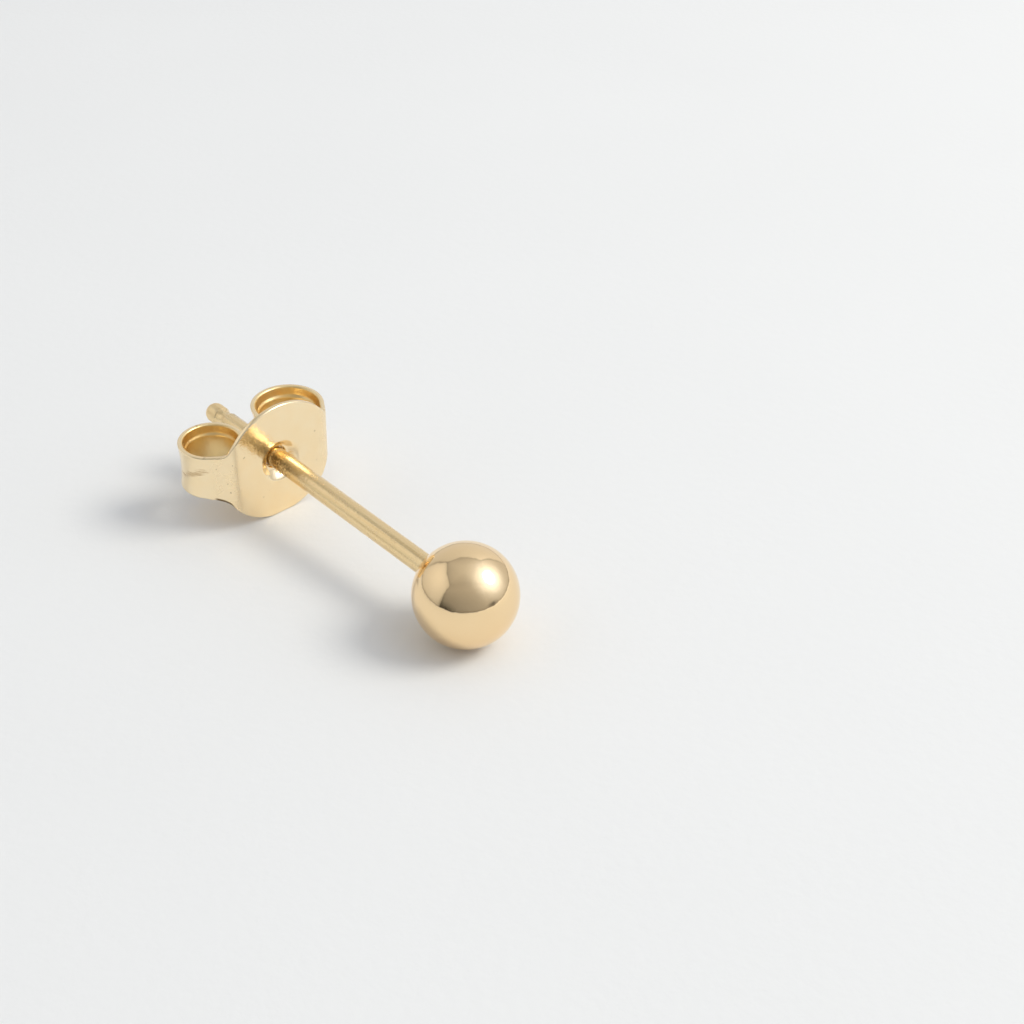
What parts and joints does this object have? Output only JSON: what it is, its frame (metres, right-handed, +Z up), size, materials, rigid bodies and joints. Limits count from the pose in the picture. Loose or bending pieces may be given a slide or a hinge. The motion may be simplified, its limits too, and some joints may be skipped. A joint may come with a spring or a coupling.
{
  "type": "ball stud earring",
  "caption": "Plain ball stud earring: a polished ball soldered to a straight grooved post, with a rolled butterfly back that slides on the post.",
  "frame": {"origin": "on the surface that the earring lies on, under the middle of its bounding box", "axes": "+Z up, +Y from the ball towards the tip of the post, which rises 3 degrees, +X along the back's two scrolls"},
  "size_m": [0.006, 0.0158, 0.0045],
  "materials": {
    "stud_gold": "polished yellow gold",
    "back_gold": "stamped yellow gold, satin to bright"
  },
  "bodies": {
    "stud": {"ball_stud": "stud_gold"},
    "back": {"butterfly_back": "back_gold"}
  },
  "joints": [
    {"name": "back_slide", "type": "slide", "parent": "stud", "child": "back", "axis": [0, 0.9988, 0.0495], "range_m": [-0.0078, 0.009]}
  ]
}
